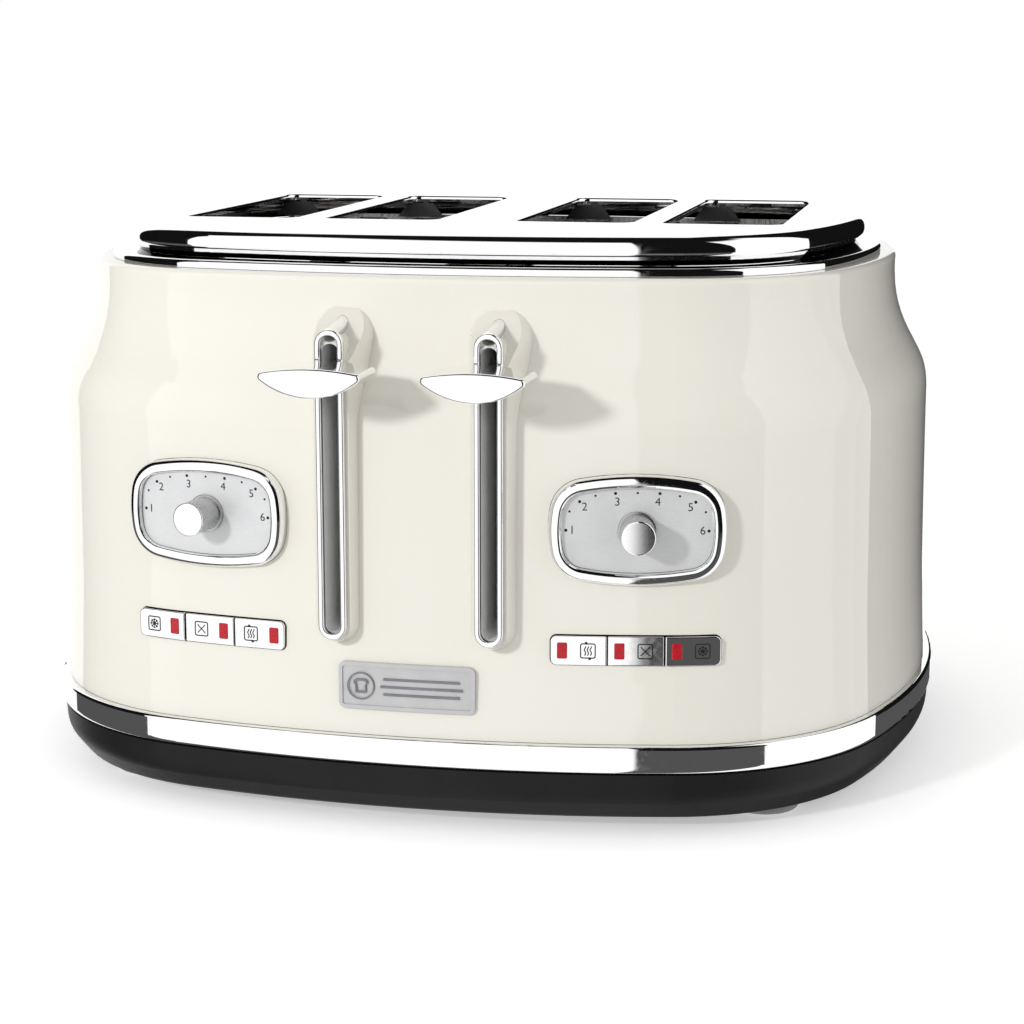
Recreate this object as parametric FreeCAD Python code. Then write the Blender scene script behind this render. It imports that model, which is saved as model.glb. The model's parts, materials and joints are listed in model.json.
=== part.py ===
import FreeCAD, Part
import math
import os

from FreeCAD import Vector

# Four-slot pop up toaster, two slots to each lever. Millimetres, +Z up, the front faces -Y.
# Shapes are drawn about the middle of the body's plan. Each one is then moved so that the origin
# lies under the middle of the whole toaster, levers included, at the bottom of the feet.

# ---- Body plan: four long arcs joined by four corner arcs, all pieces are insets of it ----
half_width = 165.0
half_depth = 149.8
front_arc_radius = 420.0
side_arc_radius = 246.0
corner_radius = 86.0

# ---- Heights ----
base_bottom_z = 5.0
band_bottom_z = 22.2
band_height = 9.8
waist_z = 68.0
shoulder_z = 141.1
neck_z = 164.9
rim_z = 184.3
trim_ring_height = 2.8
cover_height = 9.9

# ---- Insets of the outer faces from the plan ----
base_foot_inset = 8.2
base_belly_inset = 1.5
base_top_inset = 0.9
base_flange_inset = 2.7
shell_foot_inset = 2.9
waist_inset = 4.4
shoulder_inset = 5.05
neck_inset = 17.9
trim_ring_inset = 23.5
cover_inset = 29.5
cover_undercut = 3.6

# ---- Walls and general clearances ----
shell_wall = 1.0
base_wall = 2.0
base_floor = 2.5
band_wall = 0.9
cover_wall = 1.0
seam_gap = 0.1
moving_gap = 0.35
shaft_gap = 0.06

# ---- Bread slots ----
slot_length = 134.3
slot_width = 41.7
slot_corner_radius = 5.0
slot_flange_depth = 2.5
slot_edge_radius = 1.4
slot_middle_y = 13.0
inner_slot_x = 35.5
outer_slot_x = 88.3

# ---- Lever tracks ----
track_x = 26.4
track_proud = 2.8
track_bottom_z = 65.5
track_top_z = 168.6
track_half_width = 4.8
track_bar = 2.0
track_thickness = 2.1
surround_lip = 1.1
surround_spread = 0.25
surround_reach = 39.0
liner_wall = 0.9
liner_depth = 23.0
liner_top_drop = 2.7
scoop_foot_z = 157.4
scoop_rise = 16.6
scoop_run = 19.6
core_half_width = 4.7
core_top_z = 166.8
stay_radius = 2.4
stay_start_z = 166.6
stay_length = 17.6
stay_rise = 2.2

# ---- Levers and carriages ----
lever_reach = 26.2
lever_depth = 20.8
lever_half_width = 18.6
lever_tip_z = 156.9
lever_top_z = 158.9
lever_bottom_z = 149.4
lever_tip_radius = 1.5
lever_edge_radius = 1.1
lever_travel = 77.0
arm_width = 3.4
arm_height = 6.0
arm_insertion = 8.0
carriage_front_gap = 15.0
carriage_sheet = 1.5
carriage_low_z = 106.0
carriage_high_z = 168.0
carriage_half_width = 39.0
rod_radius = 2.5
rod_spacing = 52.0
rod_stand_off = 6.5
rod_top_z = 176.5
bush_wall = 2.45
bush_height = 20.0
bush_low_z = 144.0
rack_top_z = 112.0
rack_bar_height = 8.0
rack_bar_width = 1.6
rack_wire_radius = 1.0
rack_wire_reach = 8.4
rack_wire_count = 8
spring_radius = 3.6
spring_wire_radius = 0.5
spring_turns = 18
spring_low_z = 134.5
magnet_width = 18.0
magnet_depth = 13.0
magnet_height = 20.0
keeper_thickness = 2.5
latch_gap = 0.4

# ---- Dials ----
dial_x = 73.0
dial_z = 104.2
bezel_half_width = 29.0
bezel_half_height = 18.35
bezel_long_radius = 105.0
bezel_short_radius = 42.0
bezel_corner_radius = 12.0
bezel_ring_width = 4.2
bezel_ledge = 1.8
bezel_rise = 3.8
bezel_outer_radius = 2.5
bezel_inner_radius = 1.2
bezel_sink = 4.0
dial_face_thickness = 1.2
dial_face_seat = 0.35
knob_radius = 5.65
knob_length = 11.8
knob_collar_radius = 6.4
knob_collar_height = 0.8
knob_edge_radius = 0.5
knob_shaft_radius = 3.0
knob_shaft_length = 12.0
pot_half_width = 8.0
board_depth = 14.0
board_thickness = 1.6
board_half_width = 31.0
switch_gap = 1.6

# ---- Push buttons ----
strip_z = 63.8
button_width = 18.4
button_height = 9.8
button_gap = 0.35
button_rise = 1.2
button_depth = 9.0
button_cap_depth = 0.6
button_stem_inset = 1.4
button_end_radius = 2.0
button_corner_radius = 0.4
button_edge_radius = 0.38
button_travel = 1.5
lens_width = 2.6
lens_height = 5.0
lens_depth = 3.0
lens_offset = 5.4
lens_rise = 0.15
holder_front = 4.6
holder_back = 10.5
holder_margin = 2.6

# ---- Badge ----
badge_width = 46.7
badge_height = 16.0
badge_z = 49.0
badge_x = -2.7
badge_rise = 1.0
badge_rim_rise = 0.5
badge_rim_width = 1.3
badge_corner_radius = 2.2

# ---- Oven ----
oven_front_y = -60.0
oven_rear_y = 83.0
oven_sheet = 1.0
oven_foot_half_width = 131.0
oven_foot_height = 12.0
oven_bottom_z = 20.0
oven_top_drop = 8.0
oven_margin = 1.85
hanger_offset = 17.0
hanger_foot_half_width = 9.8
hanger_top_half_width = 5.3
hanger_low_z = 188.4
hanger_height = 5.7
hanger_sheet = 0.8
hanger_stem_offset = 2.2
hanger_stem_half_width = 1.2
hanger_stem_drop = 1.5
oven_flange = 10.0
rack_slot_gap = 1.0
guide_slot_inset = 2.45
guide_travel = 8.0
guide_rod_radius = 1.1
guide_wire_radius = 0.8
guide_wire_count = 7
guide_top_drop = 11.0
guide_bottom_z = 44.0
guide_pin_reach = 2.5
board_sheet = 0.8
board_low_z = 36.0
board_high_z = 178.0
board_clearance = 1.6
ribbon_height = 1.2
ribbon_thickness = 0.3
ribbon_count = 7
reflector_sheet = 0.6
reflector_gap = 2.4

# ---- Base ----
post_radius = 5.0
post_side_x = 126.0
post_flange_offset = 5.0
screw_radius = 1.5
screw_head_radius = 3.0
screw_head_height = 2.0
screw_bite = 10.0
foot_radius = 12.5
foot_x = 111.5
foot_y = 96.5
foot_edge_radius = 1.5
tray_inner_x = 12.0
tray_outer_x = 116.0
tray_front_y = -56.0
tray_lift = 0.5
tray_height = 9.4
tray_sheet = 0.8
tray_pull_reach = 4.0
tray_pull_half_width = 18.0
gland_z = 13.0
gland_radius = 4.6
gland_flange_radius = 6.0
gland_flange = 1.2
gland_bore_radius = 3.2
gland_length = 10.0

# ---- Derived places ----
front_arc_y = front_arc_radius - half_depth
track_front_y = -(half_depth + track_proud)
band_top_z = band_bottom_z + band_height
shell_bottom_z = band_top_z + seam_gap
ring_bottom_z = rim_z + seam_gap
ring_top_z = ring_bottom_z + trim_ring_height
cover_bottom_z = ring_top_z + seam_gap
cover_top_z = cover_bottom_z + cover_height
oven_top_z = cover_top_z - oven_top_drop
base_floor_z = base_bottom_z + base_floor
lever_front_y = -(half_depth + lever_reach)
lever_back_y = lever_front_y + lever_depth
track_back_y = track_front_y + track_thickness
surround_front_y = track_back_y + seam_gap
track_low_centre_z = track_bottom_z + track_half_width
track_high_centre_z = track_top_z - track_half_width
liner_half_width = track_half_width - track_bar
liner_high_centre_z = track_high_centre_z - liner_top_drop
pair_middle_x = (inner_slot_x + outer_slot_x) / 2
oven_face_y = oven_front_y - oven_sheet
carriage_back_y = oven_face_y - carriage_front_gap
carriage_face_y = carriage_back_y - carriage_sheet
arm_z = (lever_top_z + lever_bottom_z) / 2
rod_y = carriage_face_y - rod_stand_off
rod_xs = (pair_middle_x - rod_spacing / 2, pair_middle_x + rod_spacing / 2)
guide_top_z = cover_top_z - guide_top_drop
guide_half_spread = slot_width / 2 - guide_slot_inset
slot_outer_edge_x = outer_slot_x + slot_width / 2
board_reach = slot_width / 2 + board_clearance + board_sheet / 2
oven_half_width = outer_slot_x + board_reach + reflector_gap + reflector_sheet + oven_margin
oven_neck_half_width = slot_outer_edge_x + oven_margin
slots_x = (inner_slot_x, outer_slot_x)
middle_shift_y = lever_reach / 2


# ---- Outlines of straight runs and tangent arcs ----

def unit(dx, dy):
    length = math.hypot(dx, dy)
    return dx / length, dy / length


def rounded(points, radii, closed=False):
    """Pieces of an outline: two points for a straight run, three for an arc through them."""
    corners = []
    for i, (point, radius) in enumerate(zip(points, radii)):
        if radius == 0:
            corners.append((point, None, point))
            continue
        before = points[i - 1]
        after = points[(i + 1) % len(points)]
        back = unit(before[0] - point[0], before[1] - point[1])
        ahead = unit(after[0] - point[0], after[1] - point[1])
        half = math.acos(back[0] * ahead[0] + back[1] * ahead[1]) / 2
        run = radius / math.tan(half)
        bisector = unit(back[0] + ahead[0], back[1] + ahead[1])
        reach = radius / math.sin(half) - radius
        start = (point[0] + back[0] * run, point[1] + back[1] * run)
        middle = (point[0] + bisector[0] * reach, point[1] + bisector[1] * reach)
        end = (point[0] + ahead[0] * run, point[1] + ahead[1] * run)
        corners.append((start, middle, end))
    pieces = []
    for i, (start, middle, end) in enumerate(corners):
        if middle:
            pieces.append((start, middle, end))
        if i + 1 < len(corners) or closed:
            pieces.append((end, corners[(i + 1) % len(corners)][0]))
    return pieces


def offset(points, radii, distance):
    """The same open outline moved to the right of its direction of travel."""
    ways = [unit(b[0] - a[0], b[1] - a[1]) for a, b in zip(points, points[1:])]
    moved = []
    moved_radii = []
    for i, (x, y) in enumerate(points):
        one = ways[max(i - 1, 0)]
        two = ways[min(i, len(ways) - 1)]
        scale = distance / (1 + one[0] * two[0] + one[1] * two[1])
        moved.append((x + (one[1] + two[1]) * scale, y - (one[0] + two[0]) * scale))
        turn = one[0] * two[1] - one[1] * two[0]
        change = distance if turn > 0 else -distance
        moved_radii.append(max(radii[i] + change, 0) if radii[i] else 0)
    return moved, moved_radii


def reverse(pieces):
    return [piece[::-1] for piece in reversed(pieces)]


def wall_section(points, radii, thickness):
    """Closed section of a sheet whose outer face follows the outline, travelled upwards."""
    outer = rounded(points, radii)
    inner = rounded(*offset(points, radii, thickness))
    far_end = [(outer[-1][-1], inner[-1][-1])]
    near_end = [(inner[0][0], outer[0][0])]
    return outer + far_end + reverse(inner) + near_end


def filled_section(points, radii, move, far_inset):
    """Closed section between the moved outline and a straight line at another inset."""
    moved, moved_radii = offset(points, radii, move)
    far_top = (far_inset, moved[-1][1])
    far_bottom = (far_inset, moved[0][1])
    return rounded(moved + [far_top, far_bottom], moved_radii + [0, 0], closed=True)


def section_face(pieces, place):
    edges = []
    for piece in pieces:
        spots = [place(*point) for point in piece]
        if (spots[0] - spots[-1]).Length < 1e-6:
            continue
        edge = Part.makeLine(*spots) if len(spots) == 2 else Part.Arc(*spots).toShape()
        edges.append(edge)
    return Part.Face(Part.Wire(edges))


# ---- Ovals: the plan of the body, the trims and the dial bezels ----

def oval(half_x, half_y, long_radius, short_radius, corner):
    """Eight arcs as (centre x, centre y, radius, start angle, end angle), anticlockwise."""
    long_y = long_radius - half_y
    short_x = half_x - short_radius
    long_reach = long_radius - corner
    short_reach = short_radius - corner
    gap = math.hypot(short_x, long_y)
    along = (long_reach ** 2 - short_reach ** 2 + gap ** 2) / (2 * gap)
    across = math.sqrt(long_reach ** 2 - along ** 2)
    way = unit(short_x, -long_y)
    x = way[0] * along - way[1] * across
    y = long_y + way[1] * along + way[0] * across
    a = math.degrees(math.atan2(y - long_y, x))
    b = math.degrees(math.atan2(y, x - short_x))
    return [
        (0, long_y, long_radius, -180 - a, a),
        (x, y, corner, a, b),
        (short_x, 0, short_radius, b, -b),
        (x, -y, corner, -b, -a),
        (0, -long_y, long_radius, -a, 180 + a),
        (-x, -y, corner, 180 + a, 180 + b),
        (-short_x, 0, short_radius, 180 + b, 180 - b),
        (-x, y, corner, 180 - b, 180 - a),
    ]


def oval_block(arcs, inset, z0, z1):
    edges = []
    for cx, cy, radius, start, end in arcs:
        r = radius - inset
        angles = [math.radians(a) for a in (start, (start + end) / 2, end)]
        spots = [Vector(cx + r * math.cos(a), cy + r * math.sin(a), z0) for a in angles]
        edges.append(Part.Arc(*spots).toShape())
    return Part.Face(Part.Wire(edges)).extrude(Vector(0, 0, z1 - z0))


def oval_ring(arcs, pieces):
    """A section in (inset, z), carried round the oval."""
    parts = []
    for cx, cy, radius, start, end in arcs:
        a = math.radians(start)

        def place(inset, z):
            r = radius - inset
            return Vector(cx + r * math.cos(a), cy + r * math.sin(a), z)

        face = section_face(pieces, place)
        parts.append(face.revolve(Vector(cx, cy, 0), Vector(0, 0, 1), end - start))
    return join(parts)


# ---- Simple solids ----

def join(shapes):
    return shapes[0].multiFuse(shapes[1:]).removeSplitter()


def group(shapes):
    return Part.makeCompound(shapes)


def box(x0, x1, y0, y1, z0, z1):
    return Part.makeBox(x1 - x0, y1 - y0, z1 - z0, Vector(x0, y0, z0))


def tube_y(x, z, radius, y0, y1):
    return Part.makeCylinder(radius, y1 - y0, Vector(x, y0, z), Vector(0, 1, 0))


def post_z(x, y, radius, z0, z1):
    return Part.makeCylinder(radius, z1 - z0, Vector(x, y, z0), Vector(0, 0, 1))


def rounded_box(x0, x1, y0, y1, z0, z1, radius):
    """A box with its four upright edges rounded."""
    corners = [(x0, y0), (x1, y0), (x1, y1), (x0, y1)]
    pieces = rounded(corners, [radius] * 4, closed=True)
    return section_face(pieces, lambda x, y: Vector(x, y, z0)).extrude(Vector(0, 0, z1 - z0))


def stadium_wire(x, half, low, high, y):
    """Upright slot outline: straight sides between half circles centred at low and high."""
    a = Vector(x + half, y, low)
    b = Vector(x + half, y, high)
    c = Vector(x - half, y, high)
    d = Vector(x - half, y, low)
    return Part.Wire([
        Part.makeLine(a, b),
        Part.Arc(b, Vector(x, y, high + half), c).toShape(),
        Part.makeLine(c, d),
        Part.Arc(d, Vector(x, y, low - half), a).toShape(),
    ])


def stadium(x, half, low, high, y0, y1):
    return Part.Face(stadium_wire(x, half, low, high, y0)).extrude(Vector(0, y1 - y0, 0))


def mirrored(shape):
    return shape.mirror(Vector(0, 0, 0), Vector(1, 0, 0))


def edges_at(shape, test):
    return [edge for edge in shape.Edges if all(test(vertex.Point) for vertex in edge.Vertexes)]


# ---- Places on the curved front ----

def skin_inset(z):
    """Inset of the body's outer face at a height below the shoulder."""
    levels = [(shell_bottom_z, shell_foot_inset), (waist_z, waist_inset), (shoulder_z, shoulder_inset)]
    low, high = levels[:2] if z < waist_z else levels[1:]
    return low[1] + (high[1] - low[1]) * (z - low[0]) / (high[0] - low[0])


def front_reach(x, z):
    """Distance along the front's long arc from its middle to this x."""
    radius = front_arc_radius - skin_inset(z)
    return radius * math.asin(x / radius)


def on_front(shape, reach, z):
    """Move a shape drawn about the origin, facing -Y, to this distance along the front."""
    cx, cy, long_radius, start, end = plan[0]
    radius = long_radius - skin_inset(z)
    bend = math.radians(90 + end)
    turn = reach / radius
    if turn > bend:
        cx, cy, corner, start, end = plan[1]
        rest = reach - bend * radius
        radius = corner - skin_inset(z)
        turn = bend + rest / radius
    moved = shape.copy()
    moved.rotate(Vector(0, 0, 0), Vector(0, 0, 1), math.degrees(turn))
    moved.translate(Vector(cx + radius * math.sin(turn), cy - radius * math.cos(turn), z))
    return moved


def facing_front(shape):
    """Turn a shape drawn on the XY plane, rising in Z, to face -Y."""
    turned = shape.copy()
    turned.rotate(Vector(0, 0, 0), Vector(1, 0, 0), 90)
    return turned


plan = oval(half_width, half_depth, front_arc_radius, side_arc_radius, corner_radius)
bezel_plan = oval(bezel_half_width, bezel_half_height, bezel_long_radius, bezel_short_radius,
                  bezel_corner_radius)
dial_reach = front_reach(dial_x, dial_z)
strip_reach = front_reach(dial_x, strip_z)
button_step = button_width + button_gap
button_reaches = [strip_reach + button_step * place for place in (-1, 0, 1)]
slot_centres = [side * x for side in (-1, 1) for x in slots_x]

# ---- Sections of the casing, travelled upwards so that the inside is on the right ----
base_points = [
    (base_foot_inset + 8, base_bottom_z),
    (base_foot_inset, base_bottom_z),
    (base_belly_inset, base_bottom_z + 8.5),
    (base_top_inset, band_bottom_z - 0.2),
    (base_flange_inset, band_bottom_z - 0.2),
    (base_flange_inset, band_top_z - band_wall - 0.5),
]
base_radii = [0, 3.0, 9.0, 0, 0, 0]
band_points = [
    (base_flange_inset - 0.4, band_bottom_z),
    (0, band_bottom_z),
    (0, band_top_z),
    (shell_foot_inset + 2.6, band_top_z),
]
band_radii = [0, 2.2, 1.1, 0]
shell_points = [
    (shell_foot_inset, shell_bottom_z),
    (waist_inset, waist_z),
    (shoulder_inset, shoulder_z),
    (neck_inset, neck_z),
    (neck_inset, rim_z),
    (cover_inset + 5.5, rim_z),
]
shell_radii = [0, 300.0, 27.0, 48.0, 2.3, 0]
cover_points = [
    (cover_inset + cover_undercut, cover_bottom_z),
    (cover_inset, cover_bottom_z + cover_undercut),
    (cover_inset, cover_top_z),
    (cover_inset + 10.5, cover_top_z),
]
cover_radii = [0, 1.8, 4.9, 0]


# ---- Casing ----

def button_outline(place, gap, inner_radius, y):
    """A button's outline, wider by gap. The strip's two outer ends have rounded corners."""
    half = button_width / 2 + gap
    tall = button_height / 2 + gap
    corners = [(-half, -tall), (half, -tall), (half, tall), (-half, tall)]
    end_radius = button_end_radius + gap
    right = end_radius if place == 1 else inner_radius
    left = end_radius if place == -1 else inner_radius
    return section_face(rounded(corners, [left, right, right, left], closed=True),
                        lambda x, z: Vector(x, y, z))


def strip_hole(gap):
    """The hole that the three buttons of the right strip stand in."""
    blocks = []
    for place, reach in zip((-1, 0, 1), button_reaches):
        block = button_outline(place, gap, 0, -20).extrude(Vector(0, 40, 0))
        blocks.append(on_front(block, reach, strip_z))
    return join(blocks)


def build_shell():
    shell = oval_ring(plan, wall_section(shell_points, shell_radii, shell_wall))
    dial_hole = facing_front(oval_block(bezel_plan, -seam_gap, -20, 20))
    dial_hole = on_front(dial_hole, dial_reach, dial_z)
    track_hole = stadium(track_x, liner_half_width + liner_wall + 2 * seam_gap, track_low_centre_z,
                         liner_high_centre_z, -half_depth - 10, surround_front_y + surround_reach)
    holes = [dial_hole, track_hole, strip_hole(moving_gap)]
    return shell.cut(holes + [mirrored(hole) for hole in holes])


def build_cover():
    half = slot_width / 2
    y0 = slot_middle_y - slot_length / 2
    y1 = slot_middle_y + slot_length / 2
    plate_z = cover_top_z - cover_wall
    edge = oval_ring(plan, wall_section(cover_points, cover_radii, cover_wall))
    plate = oval_block(plan, cover_inset + 8, plate_z, cover_top_z)
    blanks = []
    slots = []
    for x in slot_centres:
        blanks.append(rounded_box(x - half - cover_wall, x + half + cover_wall, y0 - cover_wall,
                                  y1 + cover_wall, cover_top_z - slot_flange_depth, cover_top_z,
                                  slot_corner_radius + cover_wall))
        slots.append(rounded_box(x - half, x + half, y0, y1, 0, cover_top_z + 10,
                                 slot_corner_radius))
    cover = join([edge, plate] + blanks).cut(slots)

    def at_slot_rim(point):
        near = min(abs(point.x - x) for x in slot_centres) < half + 0.5
        return near and abs(point.z - cover_top_z) < 1e-4 and y0 - 0.5 < point.y < y1 + 0.5

    return cover.makeFillet(slot_edge_radius, edges_at(cover, at_slot_rim))


def build_trim_ring():
    inner = cover_inset + 5
    corners = [(trim_ring_inset, ring_bottom_z), (trim_ring_inset, ring_top_z),
               (inner, ring_top_z), (inner, ring_bottom_z)]
    return oval_ring(plan, rounded(corners, [0, 1.6, 0, 0], closed=True))


def tray_hole(x0, x1, gap):
    """The way that a crumb tray slides out through the back of the base."""
    low = base_floor_z + tray_lift
    return box(x0 - gap, x1 + gap, 60, half_depth + 30, low - gap, low + tray_height + gap)


def post_places():
    front_y = oven_face_y - post_flange_offset
    rear_y = oven_rear_y + oven_sheet + post_flange_offset
    return [(x, y) for x in (-post_side_x, 0, post_side_x) for y in (front_y, rear_y)]


def build_base():
    wall = oval_ring(plan, wall_section(base_points, base_radii, base_wall))
    floor = oval_block(plan, base_foot_inset + 5, base_bottom_z, base_floor_z)
    posts = []
    bores = []
    for x, y in post_places():
        posts.append(post_z(x, y, post_radius, base_floor_z - 0.5, oven_bottom_z))
        bores.append(post_z(x, y, screw_radius + seam_gap, 0, oven_bottom_z + 1))
        bores.append(post_z(x, y, screw_head_radius + seam_gap, 0,
                            base_bottom_z + screw_head_height + seam_gap))
    right_tray = tray_hole(tray_inner_x, tray_outer_x, moving_gap)
    gland = tube_y(0, gland_z, gland_radius + seam_gap, 100, half_depth + 10)
    pan = join([wall, floor] + posts)
    return pan.cut(bores + [right_tray, mirrored(right_tray), gland])


def build_band():
    return oval_ring(plan, wall_section(band_points, band_radii, band_wall))


def build_feet():
    feet = []
    for x in (-foot_x, foot_x):
        for y in (-foot_y, foot_y):
            foot = post_z(x, y, foot_radius, 0, base_bottom_z)
            ring = edges_at(foot, lambda point: point.z < 0.01)
            feet.append(foot.makeFillet(foot_edge_radius, ring))
    return group(feet)


def build_screws():
    screws = []
    for x, y in post_places():
        head_z = base_bottom_z + screw_head_height
        head = post_z(x, y, screw_head_radius, base_bottom_z + 0.2, head_z)
        shank = post_z(x, y, screw_radius, head_z - 0.5, head_z + screw_bite)
        screws.append(join([head, shank]))
    return group(screws)


def build_gland():
    skin_y = half_depth - base_belly_inset
    end_y = skin_y + gland_flange
    body = tube_y(0, gland_z, gland_radius, end_y - gland_length, end_y)
    wall = oval_ring(plan, wall_section(base_points, base_radii, base_wall))
    flange = tube_y(0, gland_z, gland_flange_radius, skin_y, end_y).cut(wall)
    bore = tube_y(0, gland_z, gland_bore_radius, end_y - gland_length - 1, end_y + 1)
    return join([body, flange]).cut(bore)


def build_badge():
    """A plain curved plate with a raised rim, seated on the front below the levers."""
    half = badge_width / 2
    tall = badge_height / 2

    def upright_plate(shrink, radius):
        flat = rounded_box(-half + shrink, half - shrink, -tall + shrink, tall - shrink, 0, 40, radius)
        standing = facing_front(flat)
        standing.translate(Vector(badge_x, -half_depth + 20, badge_z))
        return standing

    inset = skin_inset(badge_z)
    low_z = badge_z - badge_height
    high_z = badge_z + badge_height
    body = oval_ring(plan, filled_section(shell_points, shell_radii, -0.5 * seam_gap, 50))
    plate = oval_block(plan, inset - badge_rise, low_z, high_z)
    rim = oval_block(plan, inset - badge_rise - badge_rim_rise, low_z, high_z)
    plate = plate.common(upright_plate(0, badge_corner_radius))
    inner_radius = badge_corner_radius - badge_rim_width
    rim = rim.common(upright_plate(0, badge_corner_radius))
    rim = rim.cut(upright_plate(badge_rim_width, inner_radius))
    return join([plate, rim]).cut(body)


# ---- Lever tracks, drawn for the right side ----

def build_surround():
    """The raised housing behind the track. It spreads backwards until it meets the body."""
    x = track_x
    front = track_half_width + surround_lip
    back = front + surround_spread * surround_reach
    y0 = surround_front_y
    y1 = surround_front_y + surround_reach
    low = track_low_centre_z
    high = track_high_centre_z
    housing = Part.makeLoft([stadium_wire(x, front, low, high, y0),
                             stadium_wire(x, back, low, high, y1)], True, True)
    scoop_points = [(y0, scoop_foot_z), (y0 + scoop_run, scoop_foot_z + scoop_rise),
                    (y0 + scoop_run, scoop_foot_z + 60), (y0 - 5, scoop_foot_z + 60),
                    (y0 - 5, scoop_foot_z)]
    scoop = section_face(rounded(scoop_points, [0] * 5, closed=True),
                         lambda y, z: Vector(x - 25, y, z)).extrude(Vector(50, 0, 0))
    core = stadium(x, core_half_width, low, core_top_z - core_half_width, y0, y0 + scoop_run)
    channel = stadium(x, liner_half_width + liner_wall + seam_gap, low, liner_high_centre_z,
                      y0 - 1, y1 + 1)
    body = oval_ring(plan, filled_section(shell_points, shell_radii, -seam_gap, 70))
    stay_seat = stay(stay_radius + 0.5 * seam_gap, stay_length + seam_gap)
    return join([housing.cut(scoop), core]).cut([channel, body, stay_seat])


def stay(radius, length):
    """The round stay from the top of the track back to its housing."""
    way = Vector(0, stay_length, stay_rise)
    start = Vector(track_x, track_back_y - 1, stay_start_z)
    return Part.makeCylinder(radius, length + 1, start, way)


def build_track():
    outer = stadium(track_x, track_half_width, track_low_centre_z, track_high_centre_z,
                    track_front_y, track_back_y)
    inner = stadium(track_x, liner_half_width, track_low_centre_z, track_high_centre_z,
                    track_front_y - 1, track_back_y + 1)
    loop = outer.cut(inner)
    front_edges = edges_at(loop, lambda point: abs(point.y - track_front_y) < 1e-4)
    opening = stadium(track_x, liner_half_width, track_low_centre_z, track_high_centre_z,
                      track_front_y, track_back_y + stay_length)
    return join([loop.makeFillet(0.7, front_edges), stay(stay_radius, stay_length).cut(opening)])


def build_liner():
    outer = stadium(track_x, liner_half_width + liner_wall, track_low_centre_z,
                    liner_high_centre_z, surround_front_y, surround_front_y + liner_depth)
    inner = stadium(track_x, liner_half_width, track_low_centre_z, liner_high_centre_z,
                    surround_front_y - 1, surround_front_y + liner_depth + 1)
    return outer.cut([inner, stay(stay_radius + 0.5 * seam_gap, stay_length)])


# ---- Lever and carriage, drawn for the right side at rest ----

def build_lever():
    """Half-moon section carried back from a flat face, with rounded tips and edges."""
    y = lever_front_y
    left = Vector(track_x - lever_half_width, y, lever_tip_z)
    right = Vector(track_x + lever_half_width, y, lever_tip_z)
    top = Part.Arc(left, Vector(track_x, y, lever_top_z), right).toShape()
    bottom = Part.Arc(right, Vector(track_x, y, lever_bottom_z), left).toShape()
    block = Part.Face(Part.Wire([top, bottom])).extrude(Vector(0, lever_depth, 0))

    tips = [edge for edge in block.Edges if edge.BoundBox.XLength < 1]
    block = block.makeFillet(lever_tip_radius, tips)
    for end_y in (lever_front_y, lever_back_y):
        rim = edges_at(block, lambda point: abs(point.y - end_y) < 1e-4)
        block = block.makeFillet(lever_edge_radius, rim)
    socket = box(track_x - arm_width / 2 - seam_gap, track_x + arm_width / 2 + seam_gap,
                 lever_back_y - arm_insertion - seam_gap, lever_back_y + 1,
                 arm_z - arm_height / 2 - seam_gap, arm_z + arm_height / 2 + seam_gap)
    return block.cut(socket)


def build_carriage():
    """Arm, sheet, bushes and spring tab, welded together."""
    arm = box(track_x - arm_width / 2, track_x + arm_width / 2, lever_back_y - arm_insertion,
              carriage_back_y, arm_z - arm_height / 2, arm_z + arm_height / 2)
    sheet = box(pair_middle_x - carriage_half_width, pair_middle_x + carriage_half_width,
                carriage_face_y, carriage_back_y, carriage_low_z, carriage_high_z)
    tab = box(pair_middle_x - 5, pair_middle_x + 5, rod_y - 5, carriage_back_y,
              spring_low_z - carriage_sheet, spring_low_z)
    bush_radius = rod_radius + bush_wall
    solids = [arm, sheet, tab]
    bores = []
    for x in rod_xs:
        solids.append(post_z(x, rod_y, bush_radius, bush_low_z, bush_low_z + bush_height))
        solids.append(box(x - 2, x + 2, rod_y + rod_radius + 1, carriage_face_y + 0.5,
                          bush_low_z, bush_low_z + bush_height))
        bores.append(post_z(x, rod_y, rod_radius + shaft_gap, 0, rod_top_z))
    window = box(pair_middle_x - 17, pair_middle_x + 17, carriage_face_y - 1, carriage_back_y + 1,
                 spring_low_z + 5, carriage_high_z - 6)
    return join(solids).cut(bores + [window])


def build_racks():
    """One bread rack for each slot of the pair: an upright bar with cross wires on it."""
    racks = []
    y0 = carriage_back_y
    y1 = oven_rear_y + oven_sheet + 3
    for x in slots_x:
        half = rack_bar_width / 2
        parts = [box(x - half, x + half, y0, y1, rack_top_z - rack_bar_height, rack_top_z)]
        first = slot_middle_y - slot_length / 2 + 8
        step = (slot_length - 16) / (rack_wire_count - 1)
        for i in range(rack_wire_count):
            parts.append(Part.makeCylinder(rack_wire_radius, 2 * rack_wire_reach,
                                           Vector(x - rack_wire_reach, first + i * step,
                                                  rack_top_z - rack_wire_radius),
                                           Vector(1, 0, 0)))
        racks.append(join(parts))
    return group(racks)


def build_keeper():
    low = oven_bottom_z + oven_sheet + magnet_height + lever_travel + latch_gap
    return box(pair_middle_x - magnet_width / 2 + 1, pair_middle_x + magnet_width / 2 - 1,
               carriage_back_y, oven_face_y - 3, low, low + keeper_thickness)


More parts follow.
